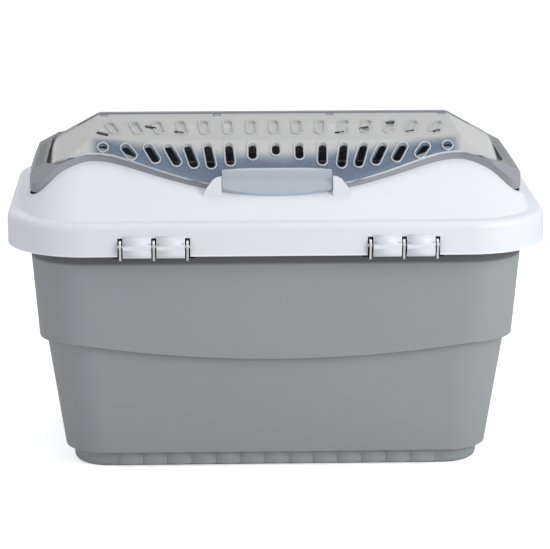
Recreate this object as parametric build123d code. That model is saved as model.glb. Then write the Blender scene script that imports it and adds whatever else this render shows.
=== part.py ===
# Small pet carrier: deep tub, domed lid with two slotted doors, millimetres, +Z up, -Y is the hinge side
from build123d import *
import math
import os

os.makedirs("parts", exist_ok=True)

# Overall sizes
rim_length = 500.0
rim_width = 330.0
ridge_height = 322.0

# Length of the helper blocks that cut a shape, longer than the carrier
reach = 260.0

# Tub
side_difference = 85.0
foot_half_length = 194.0
foot_height = 16.0
foot_draft = 2.5
foot_corner_bottom = 34.0
foot_corner_top = 36.0
foot_overlap = 6.0
foot_round = 5.0
lower_half_length_bottom = 200.0
lower_half_length_top = 217.0
upper_half_length_bottom = 222.4
upper_half_length_top = 231.5
belly_height_corner = 126.5
belly_height_middle = 112.3
belly_half_span = 180.0
belly_overlap = 4.0
tub_height = 242.0
tub_wall = 3.0
tub_floor = 4.0
tub_corner_bottom = 40.0
tub_corner_top = 52.0
tub_corner_change = 2.0
flange_reach = 7.0
flange_thickness = 4.0
flute_pitch = 23.0
flute_count = 13
flute_bulge = 2.6
flute_groove = 0.15
flute_seat = 1.2
flute_bottom = 3.0

# Lid shell
skirt_bottom = 217.0
ledge_height = 247.0
rim_corner = 75.0
lid_wall = 3.0
rim_round = 6.0
slope_half_width = 150.0
slope = 0.6
shell_half_length = 236.0
shell_end_lean = 0.326
shell_corner_base = 62.0
shell_corner_top = 40.0
shell_top = 300.0
shell_wall = 2.6
shell_start = 6.0
slope_sine = math.sin(math.atan(slope))

# Height of the lid's opening edge along its length
opening_edge = [
    (0.0, 267.9),
    (38.0, 268.1),
    (65.0, 269.3),
    (87.0, 273.0),
    (107.0, 277.3),
    (135.0, 284.0),
    (152.0, 287.6),
    (168.0, 289.2),
    (178.0, 288.7),
    (187.0, 286.8),
    (196.0, 282.8),
    (205.0, 276.8),
    (214.5, 268.2),
    (221.0, 263.0),
    (245.0, 259.0),
]

# Dome of the two doors
dome_crease_y = 68.5
dome_crease_z = 306.0
dome_slope = 0.68
dome_end_fall = 0.15
dome_flat_half = 158.0
dome_end_half = 211.5
dome_crease_round = 2.5
dome_foot_y = 130.0
dome_end_profile = ((7.5, -0.3), (14.0, -3.4), (41.5, -18.6), (49.0, -24.0), (53.8, -32.5))
door_corner = (
    (177.0, 80.2),
    (185.0, 82.6),
    (192.0, 83.2),
    (199.0, 81.2),
    (205.0, 76.4),
    (209.4, 69.0),
    (211.5, 60.0),
)
door_edge_places = (0, 38, 65, 87, 107, 135, 152, 166)
door_wall = 2.2
door_overhang = 0.8
rest_gap = 0.3
ring_end_setback = 2.5

# Spine and door hinges
spine_half_width = 2.9
spine_end_half_width = 6.6
spine_half_length = 208.0
spine_depth = 12.0
rod_radius = 1.5
rod_clearance = 0.05
door_barrel_radius = 3.7
door_axis_y = 7.0
door_axis_z = ridge_height - 5.5
door_barrel_end = 158.0
rod_end = 164.5
lug_places = (-161.5, -54.0, 54.0, 161.5)
lug_length = 6.0
lug_gap = 0.6
lug_pocket = 4.6
lug_web_rise = 0.4

# Lid hinge on the tub
hinge_axis_y = -163.0
hinge_axis_z = 226.0
barrel_radius = 8.5
hinge_pin_radius = 1.6
hinge_pin_clearance = 0.05
ear_radius = 6.8
ear_thickness = 2.0
ear_foot = 212.8
ear_chamfer = 3.5
ear_places = (83.0, 113.5, 144.0)
ear_slot_width = 4.8
ear_slot_top = 7.8
ear_gap = 1.2
bracket_end = 7.0
bracket_face = 149.2
bracket_back = 138.0
bracket_bottom = 212.0
bracket_top = 236.0
pin_overhang = 3.5
rivet_radius = 2.5
rivet_head = 4.5
rivet_height = 224.0

# Rear clips
catch_bottom = 219.0
catch_top = 223.0
catch_reach = 155.0
catch_back = 140.0
catch_half_width = 26.0
clip_places = (-ear_places[1], ear_places[1])
clip_half_width = 22.0
clip_axis_y = 169.6
clip_axis_z = 235.5
clip_barrel_radius = 3.4
clip_pin_radius = 1.5
clip_gap = 0.5
clip_lug = 4.0
clip_plate = 3.0
clip_plate_y = 166.4
clip_bottom = 208.0
clip_nose_top = 214.0
clip_nose_gap = 2.5
clip_tab_end = 171.5
clip_tab_inset = 8.0
clip_tab_drop = 4.0
clip_tab_thickness = 5.0

# Door flaps
flap_half_width = 50.7
flap_top_y = 100.0
flap_top_z = 286.0
flap_bottom_y = 122.5
flap_bottom_z = 264.6
flap_end_share = 0.66
flap_crown = 6.5
flap_wall = 2.2
flap_depth = 9.0
flap_axis_y = 107.0
flap_axis_rise = 1.9
flap_pin_radius = 1.0
flap_lug_radius = 1.9
flap_lug_inner = 44.0
flap_lug_outer = 48.5
flap_lug_gap = 0.5
flap_swing = 15.0
flap_swing_steps = 4
cheek_near = 119.2
cheek_far = 122.6
cheek_gap = 0.6
cheek_crest = ((0.0, 258.0), (0.0, 282.0), (4.0, 281.3), (8.0, 279.0), (14.5, 270.3), (17.0, 264.0), (17.0, 258.0))

# Ventilation slots of one door: place along the lid, length, lean in degrees
slot_width = 7.4
slot_rim = 1.9
slot_rim_rise = 0.8
slot_rim_root = 1.0
shortest_slot = slot_width + 0.6
lower_slot_top = 73.0
lower_slot_shift = 0.40
lower_slot_share = 0.80
lower_slot_extra = 1.4
lower_slots = (
    (0.0, 14.5, 0),
    (21.8, 20.0, 0),
    (43.2, 28.0, 4),
    (62.0, 32.0, 9),
    (79.3, 31.5, 17),
    (96.3, 29.0, 26),
    (115.5, 25.0, 28),
    (137.0, 20.0, 36),
    (161.0, 7.2, 48),
)
upper_slot_middle = 39.5
upper_slot_share = 0.95
upper_slot_depth = 1.2
upper_slots = (
    (0.0, 31.0, 0),
    (21.5, 31.0, 0),
    (43.5, 31.0, 2),
    (66.0, 31.0, 4),
    (87.5, 30.0, 7),
    (109.5, 29.0, 10),
    (130.5, 28.0, 13),
    (153.0, 26.0, 17),
)

# End grips of the top frame
riser_width = 6.5
riser_setback = 0.6
riser_reach = 8.0
spine_wide_from = 188.0
grip_outer = 231.0
grip_inner = 214.8
grip_edge_height = 276.4
grip_slope = 0.53
grip_bottom = 263.2
grip_skin = 4.5
grip_flat_half = 82.0
swing_low_height = 280.0
swing_reach = 8.0
swing_lean = 0.47
shoulder_lean = 0.27
shoulder_fall = 0.16
brow_fall = 0.70
hand_half_width = 50.0
hand_left = 205.0
hand_floor = 255.0
grip_corner = (
    (160.0, 76.0),
    (172.0, 79.2),
    (180.0, 81.0),
    (187.0, 83.7),
    (196.0, 86.9),
    (205.0, 90.9),
    (212.0, 94.0),
    (219.0, 95.6),
    (225.0, 93.8),
    (228.2, 88.0),
    (229.2, 78.0),
    (230.6, 40.0),
)
grip_start = 160.0
grip_edge_run = 3.0
grip_edge_drop = 2.0
grip_face_reach = 0.5
grip_foot_run = 4.0
grip_foot_rise = 5.0
gap_half_width = 62.0
door_side_gap = 0.5
recess_wall = 2.0
recess_floor = 2.5
recess_top = 268.0
recess_reach = 232.2


def rounded_plate(half_x, half_y, radius, height):
    """Plan outline with four round corners, placed at a height."""
    return Plane.XY.offset(height) * RectangleRounded(2 * half_x, 2 * half_y, radius)


def tapered(half_x0, radius0, z0, half_x1, radius1, z1, narrower):
    """Solid between two round-cornered outlines, each narrower across than it is long."""
    low = rounded_plate(half_x0, half_x0 - narrower, radius0, z0)
    high = rounded_plate(half_x1, half_x1 - narrower, radius1, z1)
    return loft([low, high])


def box_between(x0, x1, y0, y1, z0, z1):
    """Block from its two opposite corners, in either order."""
    middle = Pos((x0 + x1) / 2, (y0 + y1) / 2, (z0 + z1) / 2)
    return middle * Box(abs(x1 - x0), abs(y1 - y0), abs(z1 - z0))


def cylinder_x(x0, x1, y, z, radius):
    """Round bar along the length of the carrier, from its two ends in either order."""
    return Pos((x0 + x1) / 2, y, z) * Rot(0, 90, 0) * Cylinder(radius, abs(x1 - x0))


def extrude_y(outline, half):
    """Solid from an outline in the XZ plane, the same distance to the front and the rear."""
    return extrude(outline, amount=half, both=True)


def extrude_x(outline, half):
    """Solid from an outline in the YZ plane, the same distance to the left and the right."""
    return extrude(outline, amount=half, both=True)


def line_at(points, x):
    """Height of a broken line at a distance from the middle."""
    x = abs(x)
    for (xa, za), (xb, zb) in zip(points, points[1:]):
        if x <= xb:
            return za + (zb - za) * (x - xa) / (xb - xa)
    return points[-1][1]


# Tub


def tub_form(inset, floor):
    """Tub body with the fuller upper part, the slimmer lower part and the foot, drawn in by a wall."""
    lower = tapered(
        lower_half_length_bottom - inset,
        tub_corner_bottom - inset,
        foot_height + inset,
        lower_half_length_top - inset,
        tub_corner_top - inset,
        belly_height_corner + belly_overlap,
        side_difference,
    )
    run = (upper_half_length_top - upper_half_length_bottom) / (tub_height - belly_height_corner)
    start = belly_height_middle - belly_overlap
    upper = tapered(
        upper_half_length_bottom - inset - run * (belly_height_corner - start),
        tub_corner_top - tub_corner_change - inset,
        start,
        upper_half_length_top - inset,
        tub_corner_top + tub_corner_change - inset,
        tub_height,
        side_difference,
    )
    left = (-belly_half_span, belly_height_corner + inset)
    middle = (0, belly_height_middle + inset)
    right = (belly_half_span, belly_height_corner + inset)
    arc = Plane.XZ * ThreePointArc(left, middle, right)
    rest = Plane.XZ * Polyline(
        right,
        (reach, belly_height_corner + inset),
        (reach, reach),
        (-reach, reach),
        (-reach, belly_height_corner + inset),
        left,
    )
    above_belly = extrude_y(make_face([arc, rest]), reach)
    foot = tapered(
        foot_half_length - foot_draft - inset,
        foot_corner_bottom - inset,
        floor,
        foot_half_length - inset,
        foot_corner_top - inset,
        foot_height + foot_overlap,
        side_difference,
    )
    return lower + (upper & above_belly) + foot


def flute(x, side):
    """One shallow bulge on the long side of the foot: side is -1 on the hinge side and 1 on the rear side."""
    half = flute_pitch / 2 - flute_groove
    radius = (half * half + flute_bulge * flute_bulge) / (2 * flute_bulge)
    face = foot_half_length - side_difference - flute_seat
    middle = (foot_height + flute_bottom) / 2
    wheel = Pos(x, side * (face - radius + flute_bulge), middle) * Cylinder(radius, foot_height - flute_bottom)
    inner = side * (face - 2 * flute_bulge)
    outer = side * (face + 2 * flute_bulge)
    return wheel & box_between(x - half, x + half, inner, outer, flute_bottom, foot_height)


def base_tub():
    """Tub with its fluted foot, top flange, catch ribs and rivet holes."""
    tub = tub_form(0, 0)
    tub = fillet(tub.edges().filter_by_position(Axis.Z, -0.1, 0.1), foot_round)
    for i in range(flute_count):
        x = (i - (flute_count - 1) / 2) * flute_pitch
        for side in (-1, 1):
            tub = tub + flute(x, side)
    flange = rounded_plate(
        upper_half_length_top + flange_reach,
        upper_half_length_top + flange_reach - side_difference,
        tub_corner_top + tub_corner_change + flange_reach,
        tub_height - flange_thickness,
    )
    tub = tub + extrude(flange, amount=flange_thickness)
    for centre in clip_places:
        x0 = centre - catch_half_width
        x1 = centre + catch_half_width
        tub = tub + box_between(x0, x1, catch_back, catch_reach, catch_bottom, catch_top)
    tub = tub - tub_form(tub_wall, tub_floor)
    for s in (-1, 1):
        for x in rivet_places(s):
            tub = tub - rivet_bar(x, rivet_radius, bracket_back - tub_wall, reach)
    return tub


# Lid shell


def shell_form(inset_x, inset_y, top):
    """Sloping body of the lid between the ledge and a height, drawn in by a wall."""
    z0 = ledge_height - shell_start
    rise0 = z0 - ledge_height
    rise1 = top - ledge_height
    low = Plane.XY.offset(z0) * RectangleRounded(
        2 * (shell_half_length - shell_end_lean * rise0 - inset_x),
        2 * (slope_half_width - rise0 / slope - inset_y),
        shell_corner_base + shell_end_lean * shell_start - inset_x,
    )
    high = Plane.XY.offset(top) * RectangleRounded(
        2 * (shell_half_length - shell_end_lean * rise1 - inset_x),
        2 * (slope_half_width - rise1 / slope - inset_y),
        shell_corner_top - inset_x,
    )
    return loft([low, high])


def mirrored(points):
    """Full width list of points from the right half."""
    left = [(-x, z) for x, z in points[:0:-1]]
    return left + points


def above_edge(lift):
    """Everything above the wavy opening edge, raised by a distance."""
    points = [(x, z + lift) for x, z in mirrored(opening_edge)]
    wave = Plane.XZ * Spline(*points)
    top = 2 * ridge_height
    rest = Plane.XZ * Polyline(points[-1], (points[-1][0], top), (points[0][0], top), points[0])
    return extrude_y(make_face([wave, rest]), reach)


def edge_half_width(x):
    """Distance of the opening edge from the middle line, where the slope reaches the edge height."""
    return slope_half_width - (line_at(opening_edge, x) - ledge_height) / slope


def opening_plan(grow, end):
    """Plan outline under the doors' edge, widened by a distance, with rounded corners and straight ends."""
    half = [(x, edge_half_width(x) + grow) for x in door_edge_places]
    shift = end - dome_end_half
    half = half + [(x + shift, y + grow) for x, y in door_corner]
    front = [(x, -y) for x, y in mirrored(half)]
    rear = [(x, y) for x, y in mirrored(half)][::-1]
    front_curve = Spline(*front)
    rear_curve = Spline(*rear)
    right = Line(front[-1], rear[0])
    left = Line(rear[-1], front[0])
    return make_face([front_curve, right, rear_curve, left])


def opening_prism(grow, end, z0, z1):
    """Upright prism over the opening outline between two heights."""
    return extrude(Plane.XY.offset(z0) * opening_plan(grow, end), amount=z1 - z0)


def dome(drop):
    """Solid under the dome surface, lowered by a distance."""
    ridge = ridge_height - drop
    crease = (dome_crease_y, dome_crease_z - drop)
    foot_z = crease[1] - dome_slope * (dome_foot_y - dome_crease_y)
    outline = Polyline(
        (0, ridge),
        crease,
        (dome_foot_y, foot_z),
        (dome_foot_y, skirt_bottom),
        (-dome_foot_y, skirt_bottom),
        (-dome_foot_y, foot_z),
        (-crease[0], crease[1]),
        close=True,
    )
    upper = make_face(outline).vertices().filter_by(lambda v: v.Y > crease[1] - 1)
    along = extrude_x(Plane.YZ * fillet(upper, dome_crease_round), reach)
    foot_x = dome_end_half + 3
    lines = [Line((-dome_flat_half, ridge + 1), (dome_flat_half, ridge + 1))]
    lines.append(Line((-foot_x, skirt_bottom), (foot_x, skirt_bottom)))
    for s in (-1, 1):
        a = (s * dome_flat_half, ridge + 1)
        b, c, d, e, f = [(s * (dome_flat_half + x), ridge + z) for x, z in dome_end_profile]
        lines.append(ThreePointArc(a, b, c))
        lines.append(Line(c, d))
        lines.append(ThreePointArc(d, e, f))
        lines.append(Line(f, (s * foot_x, skirt_bottom)))
    profile = make_face([Plane.XZ * line for line in lines])
    front = extrude(profile, amount=rim_width / 2, dir=(0, -1, -dome_end_fall))
    rear = extrude(profile, amount=rim_width / 2, dir=(0, 1, -dome_end_fall))
    return along & (front + rear)


def cheek(s, front):
    """Raised cheek of the lid beside a door flap."""
    a = flap_half_width + cheek_gap
    outline = Plane.XZ * make_face(Polyline(*[(s * (a + x), z) for x, z in cheek_crest], close=True))
    depth = box_between(-reach, reach, front * cheek_near, front * cheek_far, skirt_bottom, ridge_height)
    return extrude_y(outline, reach) & depth


def lid_shell():
    """Lid with its downturned rim, sloping body, cheeks, hinge barrels and clip lugs."""
    rim_plan = rounded_plate(rim_length / 2, rim_width / 2, rim_corner, skirt_bottom)
    rim = extrude(rim_plan, amount=ledge_height - skirt_bottom)
    top_edges = rim.edges().filter_by_position(Axis.Z, ledge_height - 0.1, ledge_height + 0.1)
    rim = fillet(top_edges, rim_round)
    under_plan = rounded_plate(
        rim_length / 2 - lid_wall,
        rim_width / 2 - lid_wall,
        rim_corner - lid_wall,
        skirt_bottom - 1,
    )
    under_rim = extrude(under_plan, amount=ledge_height - skirt_bottom + 1 - lid_wall)
    above_ledge = box_between(-reach, reach, -reach, reach, ledge_height - lid_wall, ridge_height)
    shell = rim + (shell_form(0, 0, shell_top) & above_ledge) - under_rim
    for x0, x1 in barrel_spans():
        shell = shell + cylinder_x(x0, x1, hinge_axis_y, hinge_axis_z, barrel_radius)
    shell = shell - shell_form(shell_wall, shell_wall / slope_sine, shell_top + 1) - above_edge(0)
    for front in (-1, 1):
        for s in (-1, 1):
            shell = shell + (cheek(s, front) - below_slope())
    for s in (-1, 1):
        x0 = s * (ear_places[0] - ear_slot_width)
        x1 = s * (ear_places[2] + ear_slot_width)
        shell = shell - cylinder_x(x0, x1, hinge_axis_y, hinge_axis_z, hinge_pin_radius + hinge_pin_clearance)
        for place in ear_places:
            shell = shell - ear_slot(s * place)
        shell = shell - box_between(s * hand_left, s * reach, -hand_half_width, hand_half_width, hand_floor, ridge_height)
    for place in clip_places:
        shell = shell + clip_knuckles(place)
    return shell


def ear_slot(x):
    """Round-topped slot through the skirt for one hinge ear."""
    half = ear_slot_width / 2
    top = hinge_axis_z + ear_slot_top - half
    outer = hinge_axis_y - 2 * barrel_radius
    inner = -rim_width / 2 + 5 * lid_wall
    arch = Pos(x, hinge_axis_y, top) * Rot(90, 0, 0) * Cylinder(half, 4 * barrel_radius)
    return box_between(x - half, x + half, outer, inner, skirt_bottom - barrel_radius, top) + arch


def below_slope():
    """Everything under the middle of the lid's wall, used to seat the cheeks on it."""
    return shell_form(shell_wall / 2, shell_wall / 2 / slope_sine, shell_top + 1)


def barrel_spans():
    """Spans of the lid barrels between neighbouring ears."""
    spans = []
    for s in (-1, 1):
        for a, b in zip(ear_places, ear_places[1:]):
            x0 = a + ear_thickness / 2 + ear_gap
            x1 = b - ear_thickness / 2 - ear_gap
            spans.append((s * x0, s * x1))
    return spans


def clip_knuckles(place):
    """Pair of lugs on the rear of the skirt that carry a clip."""
    lugs = []
    for s in (-1, 1):
        x0 = place + s * (clip_half_width + clip_gap)
        x1 = x0 + s * clip_lug
        lug = cylinder_x(x0, x1, clip_axis_y, clip_axis_z, clip_barrel_radius)
        z0 = clip_axis_z - clip_lug
        z1 = clip_axis_z + clip_lug
        lug = lug + box_between(x0, x1, rim_width / 2 - lid_wall / 2, clip_axis_y, z0, z1)
        lugs.append(lug - cylinder_x(x0 - s, x1 + s, clip_axis_y, clip_axis_z, clip_pin_radius))
    return Compound(children=lugs)


def rear_clip(place):
    """Clip swinging on its pin, with a nose that comes in beside the tub's catch rib."""
    x0 = place - clip_half_width
    x1 = place + clip_half_width
    outer = clip_plate_y + clip_plate
    clip = cylinder_x(x0, x1, clip_axis_y, clip_axis_z, clip_barrel_radius)
    clip = clip + box_between(x0, x1, clip_plate_y, outer, clip_bottom, clip_axis_z)
    clip = clip + box_between(x0, x1, catch_reach + clip_nose_gap, outer - 1, clip_bottom, clip_nose_top)
    tab_bottom = clip_bottom - clip_tab_drop
    tab_top = tab_bottom + clip_tab_thickness
    clip = clip + box_between(x0 + clip_tab_inset, x1 - clip_tab_inset, outer - 1, clip_tab_end, tab_bottom, tab_top)
    return clip - cylinder_x(x0 - 1, x1 + 1, clip_axis_y, clip_axis_z, clip_pin_radius + hinge_pin_clearance)


def clip_pin(place):
    """Pin through a clip and its two lugs."""
    half = clip_half_width + clip_gap + clip_lug
    return cylinder_x(place - half, place + half, clip_axis_y, clip_axis_z, clip_pin_radius)


# Top frame


def top_frame(lid):
    """Ring under the doors, the spine between them and the two end grips, as one moulding."""
    ring_end = dome_end_half - ring_end_setback
    ring = opening_prism(-riser_setback, ring_end, ledge_height, ridge_height)
    ring = ring - opening_prism(-riser_width, ring_end - riser_width, ledge_height - 1, ridge_height + 1)
    ring = ring & dome(door_wall + rest_gap) & above_edge(-riser_reach)
    half = spine_half_width
    end = spine_half_length
    bar = box_between(-end, end, -half, half, ledge_height, ridge_height)
    half = spine_end_half_width
    for s in (-1, 1):
        bar = bar + box_between(s * spine_wide_from, s * end, -half, half, ledge_height, ridge_height)
    frame = ring + ((bar & dome(0)) - dome(spine_depth))
    for side in (-1, 1):
        for place in lug_places:
            frame = frame + rod_lug(side, place)
            x0 = place - lug_length
            x1 = place + lug_length
            frame = frame - cylinder_x(x0, x1, side * door_axis_y, door_axis_z, rod_radius)
    for s in (-1, 1):
        frame = frame + end_grip(s)
    return frame - lid


def rod_lug(side, place):
    """Lug on the spine that holds a door rod."""
    x0 = place - lug_length / 2
    x1 = place + lug_length / 2
    lug = cylinder_x(x0, x1, side * door_axis_y, door_axis_z, door_barrel_radius)
    web_top = door_axis_z + lug_web_rise
    return lug + box_between(x0, x1, 0, side * door_axis_y, door_axis_z - door_barrel_radius, web_top)


def grip_plan(s):
    """Plan outline of one end grip: bowed along its end, swept in to the ring at its corners."""
    points = [(s * x, -y) for x, y in grip_corner]
    points = points + [(s * grip_outer, 0)] + [(s * x, y) for x, y in grip_corner[::-1]]
    return make_face([Spline(*points), Line(points[-1], points[0])])


def grip_profile(s):
    """Section of one end grip along the carrier, with its sloping top."""
    rise = grip_slope * (grip_outer - grip_start)
    face = grip_outer + grip_face_reach
    outline = [
        (grip_start, grip_edge_height + rise),
        (grip_outer - grip_edge_run, grip_edge_height + grip_slope * grip_edge_run),
        (face, grip_edge_height - grip_edge_drop),
        (face, grip_bottom + grip_foot_rise),
        (grip_outer - grip_foot_run, grip_bottom),
        (grip_start, grip_bottom),
    ]
    return Plane.XZ * make_face(Polyline(*[(s * x, z) for x, z in outline], close=True))


def end_grip(s):
    """Hollow end grip with its hand recess and the shoulders that join it to the ring."""
    profile = grip_profile(s)
    whole = extrude_y(profile, reach) & extrude(grip_plan(s), amount=ridge_height)
    for e in (-1, 1):
        whole = whole - above_shoulder(s, e, shoulder_lean, shoulder_fall)
        whole = whole - above_shoulder(s, e, grip_slope, brow_fall)
    door_end = dome_end_half + rest_gap
    gap = box_between(
        s * door_end,
        s * grip_inner,
        -gap_half_width,
        gap_half_width,
        grip_bottom - 1,
        ridge_height,
    )
    inner_room = opening_prism(
        -riser_setback - 0.2,
        dome_end_half - ring_end_setback - 0.2,
        skirt_bottom,
        ridge_height,
    )
    half = hand_half_width
    hollow = box_between(s * door_end, s * reach, -half, half, ledge_height, recess_top)
    below = Pos(0, 0, -grip_skin / math.cos(math.atan(grip_slope))) * extrude_y(profile, reach)
    below = below + box_between(-reach, reach, -reach, reach, ledge_height, recess_top - 6)
    inside = box_between(s * door_end, s * (grip_outer - grip_skin), -half, half, ledge_height, ridge_height) & below
    return (whole - gap - door_swing_room(door_end) - inner_room - hollow - inside) + hand_recess(s)


def door_swing_room(door_end):
    """Room that the closed door fills and its corner sweeps through as it swings."""
    side = door_overhang + door_side_gap
    end = door_end + 0.1
    low = extrude(Plane.XY.offset(grip_bottom) * opening_plan(side, end), amount=reach)
    swing_low = Plane.XY.offset(swing_low_height) * opening_plan(side, end)
    swing_high = Plane.XY.offset(swing_low_height + swing_reach / swing_lean)
    swing_high = swing_high * opening_plan(side + swing_reach, end + swing_reach)
    return low + loft([swing_low, swing_high]) - dome(door_wall + rest_gap)


def hand_recess(s):
    """Floor, inner wall and side walls of the finger recess under one end grip."""
    half = hand_half_width
    outer = half + recess_wall
    bottom = hand_floor - recess_floor
    back = dome_end_half - ring_end_setback
    floor = box_between(s * back, s * recess_reach, -outer, outer, bottom, hand_floor)
    wall = box_between(s * (back - 3.0), s * (back + 0.1), -outer, outer, bottom, ridge_height)
    recess = floor + (wall & dome(door_wall + rest_gap))
    for e in (-1, 1):
        side = box_between(s * (back - 3.0), s * (grip_outer - 0.8), e * half, e * outer, bottom, recess_top)
        recess = recess + side
    return recess


def above_shoulder(s, e, lean, fall):
    """Room above a plane that slopes outward and forward from the corner of the grip's flat top."""
    height = grip_edge_height + grip_slope * (grip_outer - dome_end_half)
    corner = Vector(s * dome_end_half, e * grip_flat_half, height)
    along = Vector(s, 0, -lean)
    across = Vector(0, e, -fall)
    normal = along.cross(across)
    if normal.Z < 0:
        normal = normal * -1
    plane = Plane(origin=corner, x_dir=along, z_dir=normal)
    room = extrude(plane * Rectangle(2 * reach, 2 * reach), amount=reach)
    return room & box_between(-reach, reach, e * grip_flat_half, e * reach, skirt_bottom, 2 * ridge_height)


# Doors


def slot_cutters(front):
    """Open lower slots of one door, its blind upper ones, and the wider prisms of all their raised rims."""
    rows = []
    for place, length, lean in lower_slots:
        middle = lower_slot_top + length * lower_slot_shift
        rows.append((place, middle, length * lower_slot_share + lower_slot_extra, lean, True))
    for place, length, lean in upper_slots:
        rows.append((place, upper_slot_middle, length * upper_slot_share, lean, False))
    open_slots = []
    blind_slots = []
    rims = []
    for place, middle, length, lean, through in rows:
        length = max(length, shortest_slot)
        for s in (1, -1) if place else (1,):
            spot = Pos(s * place, front * middle, ledge_height) * Rot(0, 0, 90 + front * s * lean)
            hole = SlotOverall(length, slot_width)
            rim = SlotOverall(length + 2 * slot_rim, slot_width + 2 * slot_rim)
            (open_slots if through else blind_slots).append(spot * extrude(hole, amount=reach))
            rims.append(spot * extrude(rim, amount=reach))
    return open_slots, blind_slots, rims


def door(front):
    """One door of the dome: front is -1 on the hinge side and 1 on the rear side."""
    y = front * door_axis_y
    half = box_between(-reach, reach, y, front * reach, skirt_bottom, 2 * ridge_height)
    plan = opening_prism(door_overhang, dome_end_half, ledge_height, ridge_height + 2) & half
    open_slots, blind_slots, rims = slot_cutters(front)
    raised = (dome(-slot_rim_rise) - dome(slot_rim_root)) & plan & Compound(children=rims)
    skin = ((dome(0) - dome(door_wall)) & plan) + raised
    stop = lug_length / 2 + lug_gap
    spans = [(-door_barrel_end, lug_places[1] - stop)]
    spans.append((lug_places[1] + stop, lug_places[2] - stop))
    spans.append((lug_places[2] + stop, door_barrel_end))
    for x0, x1 in spans:
        skin = skin + cylinder_x(x0, x1, y, door_axis_z, door_barrel_radius)
    pocket = front * (door_axis_y + lug_pocket)
    for place in lug_places:
        skin = skin - box_between(place - stop, place + stop, 0, pocket, shell_top, 2 * ridge_height)
    rod_room = abs(lug_places[0]) + lug_length
    skin = skin - cylinder_x(-rod_room, rod_room, y, door_axis_z, rod_radius + rod_clearance)
    skin = skin - Compound(children=open_slots)
    skin = skin - (Compound(children=blind_slots) - dome(upper_slot_depth))
    for s in (-1, 1):
        skin = skin + flap_lug(front, s)
        x0 = s * (flap_lug_inner - 1)
        x1 = s * (flap_lug_outer + 1)
        skin = skin - cylinder_x(x0, x1, front * flap_axis_y, flap_axis_z(), flap_pin_radius)
    return skin


def flap_lug(front, s):
    """Lug on the door that carries one end of its flap."""
    x0 = s * flap_lug_inner
    x1 = s * flap_lug_outer
    lug = cylinder_x(x0, x1, front * flap_axis_y, flap_axis_z(), flap_lug_radius)
    y0 = front * (flap_axis_y - flap_lug_radius)
    y1 = front * (flap_axis_y + flap_lug_radius)
    return lug + (box_between(x0, x1, y0, y1, flap_bottom_z, flap_axis_z()) - dome(slot_rim_root))


def flap_axis_z():
    """Height of the flap's pin just above the door's surface."""
    return dome_crease_z - dome_slope * (flap_axis_y - dome_crease_y) + flap_axis_rise


def rod(front):
    """Hinge rod of one door."""
    return cylinder_x(-rod_end, rod_end, front * door_axis_y, door_axis_z, rod_radius)


def flap(front):
    """Clear flap over the middle of the door's lower edge, hollow underneath."""
    rise = flap_top_z - flap_bottom_z
    run = flap_bottom_y - flap_top_y
    tilt = math.degrees(math.atan2(rise, run))
    length = math.hypot(rise, run)
    middle = Plane(
        origin=(0, front * (flap_top_y + flap_bottom_y) / 2, (flap_top_z + flap_bottom_z) / 2),
        x_dir=(1, 0, 0),
        z_dir=(0, front * math.sin(math.radians(tilt)), math.cos(math.radians(tilt))),
    )
    end = length / 2 * flap_end_share
    crown_radius = (length * length / 4 + flap_crown * flap_crown) / (2 * flap_crown)
    outline = flap_outline(flap_half_width, length / 2, end)
    inner_outline = flap_outline(flap_half_width - flap_wall, length / 2 - flap_wall, end - flap_wall)
    block = extrude(middle.offset(-flap_depth) * outline, amount=2 * flap_depth)
    hollow = extrude(middle.offset(-flap_depth - 1) * inner_outline, amount=2 * flap_depth)
    centre = middle.origin - middle.z_dir * (crown_radius - flap_crown)
    half = flap_half_width + flap_wall
    barrel = cylinder_x(-half, half, centre.Y, centre.Z, crown_radius)
    inner_barrel = cylinder_x(-half, half, centre.Y, centre.Z, crown_radius - flap_wall)
    block = (block & barrel) - (hollow & inner_barrel) - slope_under()
    y = front * flap_axis_y
    hinge = Axis((0, y, flap_axis_z()), (-front, 0, 0))
    angles = [flap_swing * step / (flap_swing_steps - 1) for step in range(flap_swing_steps)]
    for angle in angles:
        block = block - door_room().rotate(hinge, angle)
    for s in (-1, 1):
        x0 = s * (flap_lug_inner - flap_lug_gap)
        x1 = s * (flap_lug_outer + flap_lug_gap)
        block = block - cylinder_x(x0, x1, y, flap_axis_z(), flap_lug_radius + flap_lug_gap)
        around = flap_lug_radius + flap_lug_gap
        foot = box_between(x0, x1, y - around, y + around, flap_bottom_z, flap_axis_z())
        for angle in angles:
            block = block - foot.rotate(hinge, angle)
    return block - cylinder_x(-half, half, y, flap_axis_z(), flap_pin_radius + hinge_pin_clearance)


def flap_outline(half_x, half_y, end_half):
    """Barrel-shaped outline, taller in the middle than at its ends."""
    top = ThreePointArc((-half_x, end_half), (0, half_y), (half_x, end_half))
    bottom = ThreePointArc((-half_x, -end_half), (0, -half_y), (half_x, -end_half))
    return make_face([top, Line(top @ 1, bottom @ 1), bottom, Line(bottom @ 0, top @ 0)])


def door_room():
    """Room the door takes up under its flap."""
    edge = edge_half_width(0) + door_overhang + door_side_gap
    half = flap_half_width + cheek_gap + slope_half_width / 10
    return dome(-rest_gap - 0.1) & box_between(-half, half, -edge, edge, ledge_height, ridge_height)


def slope_under():
    """Room the lid's wall takes up under a flap."""
    return shell_form(-door_side_gap, -door_side_gap / slope_sine, shell_top)


def flap_pin(front, s):
    """Pivot pin at one end of a flap."""
    x0 = s * flap_lug_inner
    x1 = s * (flap_half_width - rest_gap)
    return cylinder_x(x0, x1, front * flap_axis_y, flap_axis_z(), flap_pin_radius)


# Front hinge parts


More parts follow.
